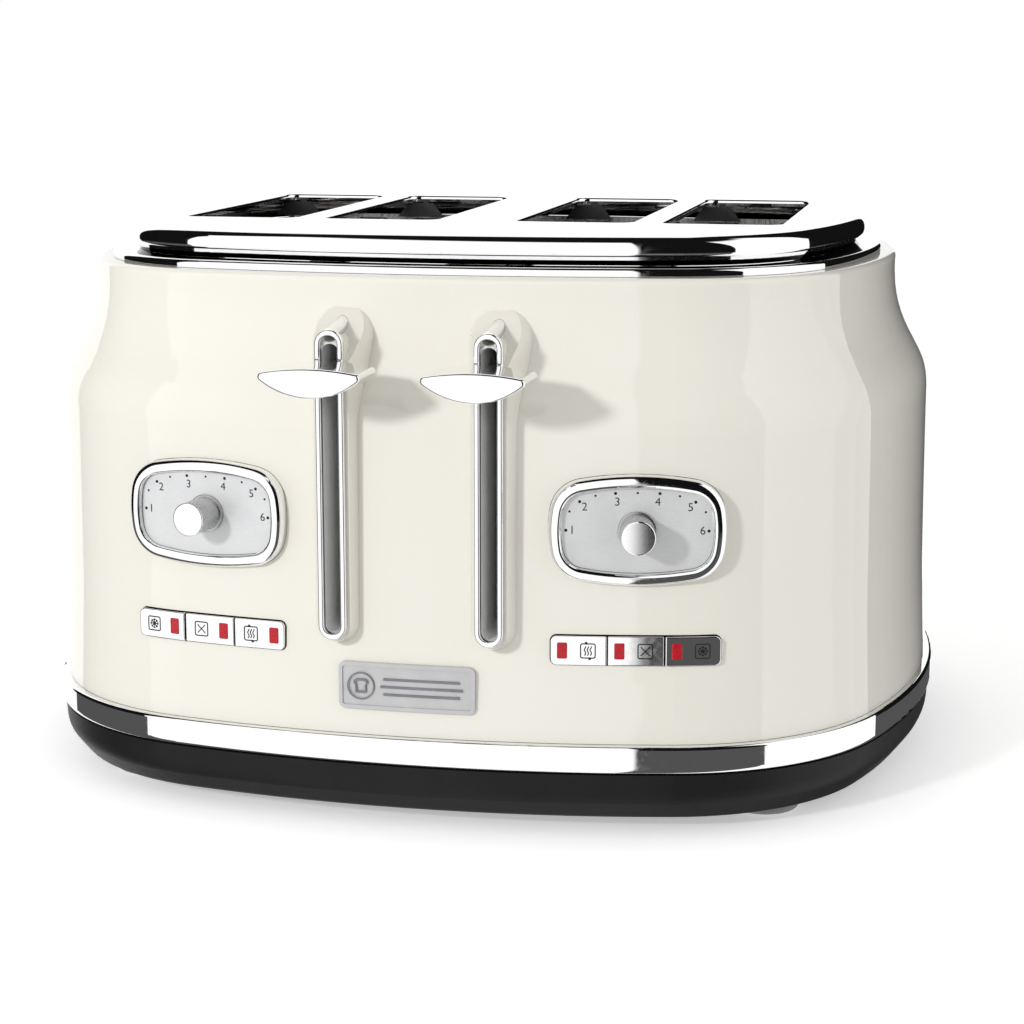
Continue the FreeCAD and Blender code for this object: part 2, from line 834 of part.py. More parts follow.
def build_spring():
    """Extension spring that hangs from the rod bracket and lifts the carriage."""
    low = spring_low_z + spring_wire_radius
    height = rod_top_z - spring_wire_radius - low
    helix = Part.makeHelix(height / spring_turns, height, spring_radius)
    ring = Part.Wire(Part.makeCircle(spring_wire_radius, Vector(spring_radius, 0, 0),
                                     Vector(0, 1, 0)))
    coil = Part.Wire(helix).makePipeShell([ring], True, True)
    coil.translate(Vector(pair_middle_x, rod_y, low))
    return coil


def build_rods():
    return group([post_z(side * x, rod_y, rod_radius, base_floor_z, rod_top_z)
                  for side in (-1, 1) for x in rod_xs])


def build_brackets():
    bracket = box(rod_xs[0] - 7, rod_xs[1] + 7, rod_y - 6, oven_face_y, rod_top_z,
                  rod_top_z + carriage_sheet)
    return group([bracket, mirrored(bracket)])


def build_magnets():
    low = oven_bottom_z + oven_sheet
    magnet = box(pair_middle_x - magnet_width / 2, pair_middle_x + magnet_width / 2,
                 oven_face_y - magnet_depth, oven_face_y, low, low + magnet_height)
    return group([magnet, mirrored(magnet)])


# ---- Dials and buttons, drawn for the right side ----

def build_bezel():
    corners = [(0, -bezel_sink), (0, bezel_rise), (bezel_ring_width, bezel_rise),
               (bezel_ring_width, 0.3), (bezel_ring_width + bezel_ledge, 0.3),
               (bezel_ring_width + bezel_ledge, -bezel_sink)]
    radii = [0, bezel_outer_radius, bezel_inner_radius, 0, 0, 0]
    ring = oval_ring(bezel_plan, rounded(corners, radii, closed=True))
    return on_front(facing_front(ring), dial_reach, dial_z)


def build_dial_face():
    plate = oval_block(bezel_plan, bezel_ring_width + seam_gap, dial_face_seat,
                       dial_face_seat + dial_face_thickness)
    bore = post_z(0, 0, knob_shaft_radius + shaft_gap, -5, 5)
    return on_front(facing_front(plate.cut(bore)), dial_reach, dial_z)


def build_knob():
    seat = dial_face_seat + dial_face_thickness + moving_gap
    top = seat + knob_collar_height + knob_length
    grip = post_z(0, 0, knob_radius, seat, top)
    grip = grip.makeFillet(knob_edge_radius, edges_at(grip, lambda point: point.z > top - 0.01))
    collar = post_z(0, 0, knob_collar_radius, seat, seat + knob_collar_height)
    collar = collar.makeFillet(0.4, edges_at(collar, lambda point: point.z > seat + 0.5))
    shaft = post_z(0, 0, knob_shaft_radius, -knob_shaft_length, seat + 1)
    return on_front(facing_front(join([grip, collar, shaft])), dial_reach, dial_z)


def build_pot():
    body = box(-pot_half_width, pot_half_width, -pot_half_width, pot_half_width, -board_depth, -2)
    bore = post_z(0, 0, knob_shaft_radius + shaft_gap, -knob_shaft_length - 0.5, 0)
    return on_front(facing_front(body.cut(bore)), dial_reach, dial_z)


def build_board():
    """Circuit board behind the dial and the buttons, with a switch behind each button."""
    drop = dial_z - strip_z
    parts = [box(-board_half_width, board_half_width, board_depth, board_depth + board_thickness,
                 -drop - 8, 20)]
    for place in (-1, 0, 1):
        x = place * button_step
        top = button_depth + button_travel + switch_gap
        parts.append(box(x - 3, x + 3, top, board_depth, -drop - 3, -drop + 3))
    return on_front(join(parts), dial_reach, dial_z)


def build_holder():
    """Frame behind the body that the three buttons slide in, in a run that follows the front."""
    half = button_step / 2 + holder_margin
    tall = button_height / 2 + holder_margin
    frame = box(-half, half, holder_front, holder_back, -tall, tall)
    frames = [on_front(frame, reach, strip_z) for reach in button_reaches]
    return join(frames).cut(strip_hole(moving_gap))


def button_cap(place):
    face = button_outline(place, 0, button_corner_radius, -button_rise)
    cap = face.extrude(Vector(0, button_rise + button_cap_depth, 0))
    front_edges = edges_at(cap, lambda point: point.y < -button_rise + 0.01)
    return cap.makeFillet(button_edge_radius, front_edges)


def lens_box(gap, rise):
    """The red window, in the part of the button nearer to the toaster's middle."""
    return box(-lens_offset - lens_width / 2 - gap, -lens_offset + lens_width / 2 + gap,
               -button_rise - rise, lens_depth - button_rise + gap,
               -lens_height / 2 - gap, lens_height / 2 + gap)


def build_button(place):
    half = button_width / 2 - button_stem_inset
    tall = button_height / 2 - button_stem_inset
    stem = box(-half, half, 0, button_depth, -tall, tall)
    button = join([button_cap(place), stem]).cut(lens_box(0.5 * seam_gap, 5))
    return on_front(button, button_reaches[place + 1], strip_z)


def build_lens(place):
    return on_front(lens_box(0, lens_rise), button_reaches[place + 1], strip_z)


# ---- Oven ----

def oven_plate(y0, y1):
    """Upright sheet with slots for the racks and for the guide rods."""
    foot = box(-oven_foot_half_width, oven_foot_half_width, y0, y1, oven_bottom_z,
               oven_bottom_z + oven_foot_height)
    middle = box(-oven_half_width, oven_half_width, y0, y1, oven_bottom_z, rim_z - 2)
    neck = box(-oven_neck_half_width, oven_neck_half_width, y0, y1, oven_bottom_z, oven_top_z)
    plate = join([foot, middle, neck])
    cuts = []
    play = guide_rod_radius + 0.9
    for x in slot_centres:
        half = rack_bar_width / 2 + rack_slot_gap
        cuts.append(box(x - half, x + half, y0 - 1, y1 + 1, rack_top_z - lever_travel
                        - rack_bar_height - 3, rack_top_z + 8))
        for z in (guide_bottom_z, guide_top_z):
            for side in (-1, 1):
                near = x + side * (guide_half_spread - guide_travel - play)
                far = x + side * (guide_half_spread + play)
                cuts.append(box(min(near, far), max(near, far), y0 - 1, y1 + 1,
                                z - guide_rod_radius - 0.4, z + guide_rod_radius + 0.4))
    return plate.cut(cuts)


def build_oven_front():
    plate = oven_plate(oven_face_y, oven_front_y)
    flange = box(-oven_foot_half_width, oven_foot_half_width, oven_face_y - oven_flange, oven_face_y,
                 oven_bottom_z, oven_bottom_z + oven_sheet)
    return join([plate, flange])


def build_oven_rear():
    rear_face = oven_rear_y + oven_sheet
    plate = oven_plate(oven_rear_y, rear_face)
    flange = box(-oven_foot_half_width, oven_foot_half_width, rear_face, rear_face + oven_flange,
                 oven_bottom_z, oven_bottom_z + oven_sheet)
    holes = []
    for x in slot_centres:
        for dx in (-12.5, 12.5):
            holes.append(tube_y(x + dx, oven_top_z - 2.4, 0.7, oven_rear_y - 1, rear_face + 1))
    return join([plate, flange]).cut(holes)


def build_hangers():
    """A tapered plate that hangs by a short stem inside the far end of each slot."""
    front = slot_middle_y + slot_length / 2 - seam_gap - hanger_sheet
    top_z = hanger_low_z + hanger_height
    hangers = []
    for x in slot_centres:
        middle = x - hanger_offset
        outline = [(middle - hanger_foot_half_width, hanger_low_z),
                   (middle + hanger_foot_half_width, hanger_low_z),
                   (middle + hanger_top_half_width, top_z),
                   (middle - hanger_top_half_width, top_z)]
        face = section_face(rounded(outline, [0] * 4, closed=True),
                            lambda px, pz: Vector(px, front, pz))
        stem_x = middle + hanger_stem_offset
        stem = box(stem_x - hanger_stem_half_width, stem_x + hanger_stem_half_width, front,
                   front + hanger_sheet, top_z - 1, cover_top_z - hanger_stem_drop)
        hangers.append(join([face.extrude(Vector(0, hanger_sheet, 0)), stem]))
    return group(hangers)


def heater_planes():
    """Middle x of each heater board of the right pair, with the sides that face a slot."""
    return [(inner_slot_x - board_reach, (1,)), (pair_middle_x, (-1, 1)),
            (outer_slot_x + board_reach, (-1,))]


def build_heaters():
    half = board_sheet / 2
    boards = [box(x - half, x + half, oven_front_y, oven_rear_y, board_low_z, board_high_z)
              for x, sides in heater_planes()]
    return group(boards)


def build_ribbons():
    ribbons = []
    step = (board_high_z - board_low_z - 20) / (ribbon_count - 1)
    for x, sides in heater_planes():
        for side in sides:
            near = x + side * board_sheet / 2
            far = near + side * ribbon_thickness
            for i in range(ribbon_count):
                z = board_low_z + 10 + i * step
                ribbons.append(box(min(near, far), max(near, far), oven_front_y + 6,
                                   oven_rear_y - 6, z, z + ribbon_height))
    return group(ribbons + [mirrored(ribbon) for ribbon in ribbons])


def build_reflectors():
    inner, middle, outer = [x for x, sides in heater_planes()]
    sheets = []
    for x in (inner - reflector_gap - reflector_sheet, outer + reflector_gap):
        sheets.append(box(x, x + reflector_sheet, oven_front_y, oven_rear_y,
                          oven_bottom_z + oven_sheet, board_high_z))
    return group(sheets + [mirrored(sheet) for sheet in sheets])


def build_guides(side):
    """The wire guides on one side of both slots of the right pair, which move together."""
    guides = []
    y0 = oven_face_y - guide_pin_reach
    y1 = oven_rear_y + oven_sheet + guide_pin_reach
    first = slot_middle_y - slot_length / 2 + 6
    step = (slot_length - 12) / (guide_wire_count - 1)
    for slot_x in slots_x:
        x = slot_x + side * guide_half_spread
        parts = [tube_y(x, z, guide_rod_radius, y0, y1) for z in (guide_bottom_z, guide_top_z)]
        for i in range(guide_wire_count):
            parts.append(post_z(x, first + i * step, guide_wire_radius, guide_bottom_z, guide_top_z))
        guides.append(join(parts))
    return group(guides)


# ---- Crumb tray, drawn for the right side ----

def build_tray():
    """Open pan whose back end is the piece of the base's wall that it slides out through."""
    x0 = tray_inner_x
    x1 = tray_outer_x
    z0 = base_floor_z + tray_lift
    z1 = z0 + tray_height
    t = tray_sheet
    pan = box(x0, x1, tray_front_y, half_depth, z0, z1)
    hollow = box(x0 + t, x1 - t, tray_front_y + t, half_depth + 1, z0 + t, z1 + 1)
    beyond = oval_ring(plan, filled_section(base_points, base_radii, base_wall / 2, -30))
    wall = oval_ring(plan, wall_section(base_points[:4], base_radii[:4], base_wall))
    end = wall.common(tray_hole(x0, x1, 0))
    middle_x = (x0 + x1) / 2
    wall_y = half_depth - base_belly_inset - middle_x ** 2 / (2 * front_arc_radius)
    pull = rounded_box(middle_x - tray_pull_half_width, middle_x + tray_pull_half_width,
                       wall_y - 1.5, wall_y + tray_pull_reach, z0 + 2.5, z0 + 5, 1.2)
    return join([pan.cut([hollow, beyond]), end, pull])


# ---- Every piece, by name ----

def pieces():
    yield "body_shell", build_shell()
    yield "top_cover", build_cover()
    yield "top_trim_ring", build_trim_ring()
    yield "base_trim_band", build_band()
    yield "base_pan", build_base()
    yield "feet", build_feet()
    yield "base_screws", build_screws()
    yield "cord_gland", build_gland()
    yield "badge_plate", build_badge()
    for name, build in (("lever_surround", build_surround), ("track_frame", build_track),
                        ("lever_handle", build_lever), ("carriage", build_carriage),
                        ("bread_racks", build_racks), ("latch_keeper", build_keeper),
                        ("return_spring", build_spring), ("dial_bezel", build_bezel),
                        ("dial_face", build_dial_face), ("dial_knob", build_knob),
                        ("crumb_tray", build_tray)):
        shape = build()
        yield name + "_left", mirrored(shape)
        yield name + "_right", shape
    for name, place in (("reheat", -1), ("cancel", 0), ("defrost", 1)):
        button = build_button(place)
        lens = build_lens(place)
        yield name + "_button_left", mirrored(button)
        yield name + "_button_right", button
        yield name + "_lens_left", mirrored(lens)
        yield name + "_lens_right", lens
    for name, build in (("track_liners", build_liner), ("potentiometers", build_pot),
                        ("control_boards", build_board), ("button_holders", build_holder)):
        shape = build()
        yield name, group([mirrored(shape), shape])
    yield "guide_rods", build_rods()
    yield "rod_brackets", build_brackets()
    yield "latch_magnets", build_magnets()
    yield "oven_front", build_oven_front()
    yield "oven_rear", build_oven_rear()
    yield "slot_hangers", build_hangers()
    boards = build_heaters()
    yield "heater_boards", group([boards, mirrored(boards)])
    yield "heater_ribbons", build_ribbons()
    yield "reflectors", build_reflectors()
    for word, side in (("inner", -1), ("outer", 1)):
        guides = build_guides(side)
        yield word + "_guides_left", mirrored(guides)
        yield word + "_guides_right", guides


os.makedirs("parts", exist_ok=True)
for node, solid in pieces():
    solid.translate(Vector(0, middle_shift_y, 0))
    if not solid.isValid():
        print("invalid solid:", node)
    solid.exportStep("parts/" + node + ".step")
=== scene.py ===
import json
import math

import bmesh
import bpy
from mathutils import Matrix, Vector


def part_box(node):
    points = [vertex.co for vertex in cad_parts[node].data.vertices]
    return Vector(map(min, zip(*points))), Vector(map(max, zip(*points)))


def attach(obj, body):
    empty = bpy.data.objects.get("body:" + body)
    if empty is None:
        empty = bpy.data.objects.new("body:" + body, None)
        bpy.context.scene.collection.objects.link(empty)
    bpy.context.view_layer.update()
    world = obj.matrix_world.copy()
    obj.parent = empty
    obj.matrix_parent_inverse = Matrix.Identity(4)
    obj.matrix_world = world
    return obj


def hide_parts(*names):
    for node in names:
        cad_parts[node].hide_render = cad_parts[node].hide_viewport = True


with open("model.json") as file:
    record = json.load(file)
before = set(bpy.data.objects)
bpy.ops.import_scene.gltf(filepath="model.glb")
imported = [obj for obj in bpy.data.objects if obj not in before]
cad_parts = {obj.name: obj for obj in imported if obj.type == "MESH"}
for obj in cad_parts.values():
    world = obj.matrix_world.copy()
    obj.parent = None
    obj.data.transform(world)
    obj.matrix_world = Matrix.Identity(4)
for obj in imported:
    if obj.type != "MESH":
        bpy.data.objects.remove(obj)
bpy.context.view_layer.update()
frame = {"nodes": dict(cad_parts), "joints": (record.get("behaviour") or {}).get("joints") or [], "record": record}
nodes = frame["nodes"]
joints = {joint["name"]: joint for joint in frame["joints"]}
MM = 0.001
UP = Vector((0, 0, 1))


# ---- Camera ----

AIM = Vector((0.0022, 0.0131, 0.0796))
AZIMUTH = math.radians(11.73)
ELEVATION = math.radians(11.21)
DISTANCE = 0.9213
LENS_MM = 83.23
SENSOR_MM = 36
SHIFT = (0.0013, 0.0021)
NEAREST = 0.01

camera_data = bpy.data.cameras.new("camera")
camera_data.lens = LENS_MM
camera_data.sensor_width = SENSOR_MM
camera_data.shift_x, camera_data.shift_y = SHIFT
camera_data.clip_start = NEAREST
camera = bpy.data.objects.new("camera", camera_data)
bpy.context.scene.collection.objects.link(camera)
back = Vector((math.sin(AZIMUTH) * math.cos(ELEVATION), -math.cos(AZIMUTH) * math.cos(ELEVATION),
               math.sin(ELEVATION)))
camera.location = AIM + back * DISTANCE
camera.rotation_mode = "QUATERNION"
camera.rotation_quaternion = (-back).to_track_quat("-Z", "Y")
bpy.context.scene.camera = camera
bpy.context.scene.view_settings.view_transform = "Standard"
bpy.context.scene.view_settings.look = "None"


# ---- Node helpers ----

def add(tree, kind, inputs=(), **settings):
    """A new shader node. Each input is set to a value or linked to an output."""
    node = tree.nodes.new(kind)
    for name, value in settings.items():
        setattr(node, name, value)
    for name, value in dict(inputs).items():
        if isinstance(value, bpy.types.NodeSocket):
            tree.links.new(value, node.inputs[name])
        else:
            node.inputs[name].default_value = value
    return node


def sums(tree, operation, *values):
    return add(tree, "ShaderNodeMath", enumerate(values), operation=operation).outputs[0]


def ramp(tree, value, start, end, low=0.0, high=1.0):
    """Maps start..end smoothly to low..high, held at both ends."""
    node = add(tree, "ShaderNodeMapRange",
               {"Value": value, "From Min": start, "From Max": end, "To Min": low, "To Max": high},
               interpolation_type="SMOOTHSTEP")
    return node.outputs["Result"]


def mix(tree, factor, one, two):
    node = add(tree, "ShaderNodeMix", {0: factor, 6: one, 7: two}, data_type="RGBA")
    return node.outputs[2]


def grey(level):
    return (level, level, level, 1)


# ---- Studio: three tall white panels round the toaster, dark between and above them ----

# Each panel's middle and half width, in degrees round from behind the toaster towards +X.
PANELS = ((-155.83, 35.83), (-28.0, 32.0), (82.5, 37.5))
PANEL_EDGE = 0.3
PANEL_TOP = 62.0
PANEL_TOP_SOFT = 4.0
PANEL_LIGHT = 1.12
ROOM_GREY = 0.006
# What the gaps between the panels show below these heights of the view direction.
FLOOR_GREY = 0.085
FLOOR_START = -0.19
FLOOR_FULL = -0.23
# Light on matt surfaces: from all round, and more of it from the two sides.
FILL_LIGHT = 0.47
SIDE_LIGHT = 0.85
BACKDROP = 1.0
KEY_PLACE = (-0.60, -1.24, 0.56)
KEY_AIM = (0, -0.05, 0.12)
KEY_SIZE = 0.14
KEY_WATTS = 7.6


def build_world():
    world = bpy.data.worlds.new("studio")
    world.use_nodes = True
    bpy.context.scene.world = world
    tree = world.node_tree
    tree.nodes.clear()
    way = add(tree, "ShaderNodeTexCoord").outputs["Generated"]
    parts = add(tree, "ShaderNodeSeparateXYZ", {0: way})
    height = parts.outputs["Z"]
    flat = add(tree, "ShaderNodeVectorMath", {0: way, 1: (1, 1, 0)},
               operation="MULTIPLY").outputs[0]
    level = add(tree, "ShaderNodeVectorMath", {0: flat}, operation="NORMALIZE").outputs[0]
    panels = None
    for middle, half in PANELS:
        towards = (math.sin(math.radians(middle)), math.cos(math.radians(middle)), 0)
        facing = add(tree, "ShaderNodeVectorMath", {0: level, 1: towards},
                     operation="DOT_PRODUCT").outputs["Value"]
        panel = ramp(tree, facing, math.cos(math.radians(half + PANEL_EDGE)),
                     math.cos(math.radians(half - PANEL_EDGE)))
        panels = panel if panels is None else sums(tree, "MAXIMUM", panels, panel)
    below_top = ramp(tree, height, math.sin(math.radians(PANEL_TOP - PANEL_TOP_SOFT)),
                     math.sin(math.radians(PANEL_TOP + PANEL_TOP_SOFT)), 1, 0)
    panels = sums(tree, "MULTIPLY", panels, below_top)
    under = ramp(tree, height, FLOOR_FULL, FLOOR_START, 1, 0)
    dark = mix(tree, under, grey(ROOM_GREY), grey(FLOOR_GREY))
    seen = mix(tree, panels, dark, grey(PANEL_LIGHT))
    path = add(tree, "ShaderNodeLightPath")
    sideways = sums(tree, "MULTIPLY", parts.outputs["X"], parts.outputs["X"])
    fill = sums(tree, "ADD", sums(tree, "MULTIPLY", sideways, SIDE_LIGHT), FILL_LIGHT)
    soft = mix(tree, path.outputs["Is Glossy Ray"], fill, seen)
    shown = mix(tree, path.outputs["Is Camera Ray"], soft, grey(BACKDROP))
    background = add(tree, "ShaderNodeBackground", {"Color": shown})
    output = add(tree, "ShaderNodeOutputWorld")
    tree.links.new(background.outputs[0], output.inputs["Surface"])


build_world()


def area_light(name, place, aim, size, watts):
    data = bpy.data.lights.new(name, "AREA")
    data.shape = "DISK"
    data.size = size
    data.energy = watts
    light = bpy.data.objects.new(name, data)
    light.location = place
    light.rotation_mode = "QUATERNION"
    light.rotation_quaternion = (Vector(aim) - Vector(place)).to_track_quat("-Z", "Y")
    light.visible_glossy = False
    bpy.context.scene.collection.objects.link(light)


area_light("key", KEY_PLACE, KEY_AIM, KEY_SIZE, KEY_WATTS)


def make_mesh(name, build, material, body=None, place=None):
    """A piece from bmesh code, riding on a body."""
    mesh = bpy.data.meshes.new(name)
    shape = bmesh.new()
    build(shape)
    if place is not None:
        bmesh.ops.transform(shape, matrix=place, verts=shape.verts)
    bmesh.ops.recalc_face_normals(shape, faces=shape.faces)
    shape.to_mesh(mesh)
    shape.free()
    mesh.materials.append(material)
    piece = bpy.data.objects.new(name, mesh)
    bpy.context.scene.collection.objects.link(piece)
    if body:
        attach(piece, body)
    return piece


# ---- Materials ----

# How much of a surface's colour change comes from its patches, the rest from its fine grain.
PATCH_SHARE = 0.6
BLEND_START, BLEND_END = 0.35, 0.65
GRAIN_START, GRAIN_END = 0.3, 0.7


def texture_place(tree, stretch=(1, 1, 1)):
    place = add(tree, "ShaderNodeTexCoord").outputs["Object"]
    return add(tree, "ShaderNodeMapping", {"Vector": place, "Scale": stretch}).outputs[0]


def noise(tree, size, detail=3.0, stretch=(1, 1, 1)):
    """Noise whose patches are about size metres across."""
    place = texture_place(tree, stretch)
    return add(tree, "ShaderNodeTexNoise",
               {"Vector": place, "Scale": 1 / size, "Detail": detail}).outputs["Fac"]


def finish(name, colours, roughness, patch=0.02, grain=0.0008, relief=0.00001, stretch=(1, 1, 1),
           metallic=0.0, coat=0.0, specular=0.5, coat_roughness=0.03, bump_strength=0.3):
    """A material with two close colours in patches, uneven roughness and a fine surface grain."""
    material = bpy.data.materials.new(name)
    material.use_nodes = True
    tree = material.node_tree
    shader = tree.nodes["Principled BSDF"]
    shader.inputs["Metallic"].default_value = metallic
    shader.inputs["Specular IOR Level"].default_value = specular
    shader.inputs["Coat Weight"].default_value = coat
    shader.inputs["Coat Roughness"].default_value = coat_roughness
    patches = noise(tree, patch, 4.0)
    fine = noise(tree, grain, 2.0, stretch)
    both = sums(tree, "ADD", sums(tree, "MULTIPLY", patches, PATCH_SHARE),
                sums(tree, "MULTIPLY", fine, 1 - PATCH_SHARE))
    blend = ramp(tree, both, BLEND_START, BLEND_END)
    one, two = ((*colour, 1) for colour in colours)
    tree.links.new(mix(tree, blend, one, two), shader.inputs["Base Color"])
    tree.links.new(ramp(tree, fine, GRAIN_START, GRAIN_END, *roughness), shader.inputs["Roughness"])
    if relief:
        bump = add(tree, "ShaderNodeBump", {"Height": fine, "Distance": relief,
                                            "Strength": bump_strength})
        tree.links.new(bump.outputs[0], shader.inputs["Normal"])
        if coat:
            tree.links.new(bump.outputs[0], shader.inputs["Coat Normal"])
    return material


materials = {
    "cream_enamel": finish("cream_enamel", ((0.872, 0.846, 0.762), (0.880, 0.856, 0.776)),
                           (0.42, 0.5), patch=0.05, grain=0.0035, relief=0.00002, coat=1.0,
                           specular=0.2, bump_strength=0.04),
    "chrome": finish("chrome", ((0.93, 0.93, 0.935), (0.96, 0.96, 0.965)), (0.02, 0.05),
                     patch=0.03, grain=0.002, relief=0, metallic=1.0),
    "base_plastic": finish("base_plastic", ((0.011, 0.011, 0.012), (0.015, 0.015, 0.016)),
                           (0.38, 0.5), patch=0.02, grain=0.0006, relief=0.00004, specular=0.16,
                           bump_strength=0.35),
    "dark_plastic": finish("dark_plastic", ((0.035, 0.035, 0.035), (0.05, 0.05, 0.05)),
                           (0.4, 0.55), grain=0.0005, relief=0.00003),
    "foot_rubber": finish("foot_rubber", ((0.22, 0.22, 0.22), (0.27, 0.27, 0.27)), (0.6, 0.8),
                          grain=0.0007, relief=0.00005, bump_strength=0.5),
    "zinc_steel": finish("zinc_steel", ((0.52, 0.53, 0.54), (0.64, 0.64, 0.65)), (0.24, 0.4),
                         patch=0.006, grain=0.0008, relief=0.00001, stretch=(1, 1, 0.15),
                         metallic=1.0),
    "rack_steel": finish("rack_steel", ((0.55, 0.54, 0.53), (0.64, 0.63, 0.62)), (0.22, 0.36),
                         grain=0.0006, metallic=1.0),
    "guide_steel": finish("guide_steel", ((0.66, 0.66, 0.66), (0.75, 0.75, 0.75)), (0.14, 0.26),
                          grain=0.0006, metallic=1.0),
    "tray_steel": finish("tray_steel", ((0.50, 0.50, 0.51), (0.60, 0.60, 0.61)), (0.25, 0.4),
                         patch=0.01, grain=0.0007, stretch=(1, 0.1, 1), metallic=1.0),
    "spring_steel": finish("spring_steel", ((0.45, 0.45, 0.46), (0.55, 0.55, 0.56)), (0.2, 0.35),
                           grain=0.0005, metallic=1.0),
    "magnet_steel": finish("magnet_steel", ((0.05, 0.05, 0.052), (0.08, 0.08, 0.082)),
                           (0.35, 0.5), grain=0.0006, metallic=0.6),
    "badge_metal": finish("badge_metal", ((0.555, 0.555, 0.56), (0.60, 0.60, 0.605)), (0.3, 0.42),
                          patch=0.006, grain=0.0004, stretch=(0.12, 1, 1), metallic=0.35,
                          relief=0.00001),
    "dial_metal": finish("dial_metal", ((0.74, 0.745, 0.75), (0.79, 0.795, 0.80)), (0.3, 0.42),
                         patch=0.01, grain=0.0005, stretch=(0.1, 1, 1), metallic=0.25,
                         relief=0.000006),
    "red_lens": finish("red_lens", ((0.46, 0.010, 0.018), (0.54, 0.014, 0.024)), (0.22, 0.32),
                       patch=0.002, grain=0.0006, coat=0.2, specular=0.3, relief=0.00001),
    "circuit_board": finish("circuit_board", ((0.02, 0.12, 0.05), (0.03, 0.16, 0.07)),
                            (0.35, 0.5), grain=0.0015),
    "mica": finish("mica", ((0.40, 0.34, 0.26), (0.52, 0.45, 0.35)), (0.35, 0.55), patch=0.004,
                   grain=0.001, relief=0.00005),
    "heater_wire": finish("heater_wire", ((0.30, 0.28, 0.26), (0.42, 0.40, 0.38)), (0.3, 0.5),
                          grain=0.0005, metallic=1.0),
    "track_grey": finish("track_grey", ((0.86, 0.86, 0.85), (0.91, 0.91, 0.90)), (0.35, 0.5),
                         patch=0.01, grain=0.0008),
}
print_ink = finish("print_ink", ((0.022, 0.022, 0.025), (0.034, 0.034, 0.037)), (0.6, 0.75),
                   patch=0.002, grain=0.0003, relief=0.000005, specular=0.15)
etched = finish("etched", ((0.20, 0.20, 0.23), (0.25, 0.25, 0.28)), (0.35, 0.5), patch=0.002,
                grain=0.0004, metallic=0.4, relief=0.00001)

# The knob's polished face, and how far behind its front the brushed sides start.
POLISH_START, POLISH_FULL = 0.5 * MM, 0.35 * MM
POLISHED_GREY = 0.94
POLISHED_ROUGHNESS = 0.12
# Painted shade: a near-black band painted along the cover's lower edge, standing in for the dark reflection and
# shadow line there.
COVER_PAINTED_SHADE_HEIGHT = 1.5 * MM
COVER_PAINTED_SHADE_EDGE = 0.05 * MM
COVER_PAINTED_SHADE_GREY = 0.004


def knob_finish(side):
    """Brushed sides, and a polished front face at the far end of the knob's axis."""
    material = finish(f"knob_metal_{side}", ((0.50, 0.50, 0.505), (0.58, 0.58, 0.585)),
                      (0.24, 0.32), patch=0.01, grain=0.0006, relief=0, metallic=1.0)
    out = -Vector(joints[f"knob_{side}_turn"]["axis"]).normalized()
    reach = max(vertex.co.dot(out) for vertex in nodes[f"dial_knob_{side}"].data.vertices)
    tree = material.node_tree
    shader = tree.nodes["Principled BSDF"]
    place = add(tree, "ShaderNodeTexCoord").outputs["Object"]
    along = add(tree, "ShaderNodeVectorMath", {0: place, 1: tuple(out)},
                operation="DOT_PRODUCT").outputs["Value"]
    front = ramp(tree, along, reach - POLISH_START, reach - POLISH_FULL)
    side_colour = shader.inputs["Base Color"].links[0].from_socket
    side_roughness = shader.inputs["Roughness"].links[0].from_socket
    colour = mix(tree, front, side_colour, grey(POLISHED_GREY))
    tree.links.new(colour, shader.inputs["Base Color"])
    smooth = sums(tree, "MULTIPLY", side_roughness,
                  ramp(tree, front, 0, 1, 1, POLISHED_ROUGHNESS))
    tree.links.new(smooth, shader.inputs["Roughness"])
    return material


def cover_chrome_with_painted_shade():
    """Chrome with painted shade: a near-black band along the cover's lower edge, standing in for its dark
    reflection and shadow line.
    """
    material = finish("cover_chrome_painted_shade", ((0.93, 0.93, 0.935), (0.96, 0.96, 0.965)), (0.02, 0.05),
                      patch=0.03, grain=0.002, relief=0, metallic=1.0)
    tree = material.node_tree
    shader = tree.nodes["Principled BSDF"]
    place = add(tree, "ShaderNodeTexCoord").outputs["Object"]
    height = add(tree, "ShaderNodeSeparateXYZ", {0: place}).outputs["Z"]
    # Painted shade: below this height above the cover's lowest point, the chrome's colour turns near black.
    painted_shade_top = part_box("top_cover")[0].z + COVER_PAINTED_SHADE_HEIGHT
    painted_shade = ramp(tree, height, painted_shade_top, painted_shade_top + COVER_PAINTED_SHADE_EDGE, 1, 0)
    chrome = shader.inputs["Base Color"].links[0].from_socket
    tree.links.new(mix(tree, painted_shade, chrome, grey(COVER_PAINTED_SHADE_GREY)), shader.inputs["Base Color"])
    return material


materials["cover_chrome_painted_shade"] = cover_chrome_with_painted_shade()
for side in ("left", "right"):
    materials[f"knob_{side}"] = knob_finish(side)
# Nodes whose finish differs from the rest of their material slot; the top cover's adds painted shade along its
# lower edge.
OTHER_FINISHES = {"dial_knob_left": "knob_left", "dial_knob_right": "knob_right",
                  "track_liners": "track_grey", "top_cover": "cover_chrome_painted_shade"}

for part in frame["record"]["subparts"]:
    dressed = nodes[part["node"]]
    material = materials[OTHER_FINISHES.get(part["node"], part["material_slot"])]
    if not dressed.data.materials:
        dressed.data.materials.append(material)
    for holder in dressed.material_slots:
        holder.material = material


# ---- Shapes for printed and raised marks, drawn flat in X and Y and rising in Z ----

# A digit's height as a share of the lettering's size.
DIGIT_SHARE = 0.7


def plate(shape, points, low, high):
    """A closed flat outline raised from low to high."""
    bottom = [shape.verts.new((x, y, low)) for x, y in points]
    top = [shape.verts.new((x, y, high)) for x, y in points]
    shape.faces.new(bottom[::-1])
    shape.faces.new(top)
    for i in range(len(points)):
        j = (i + 1) % len(points)
        shape.faces.new((bottom[i], bottom[j], top[j], top[i]))


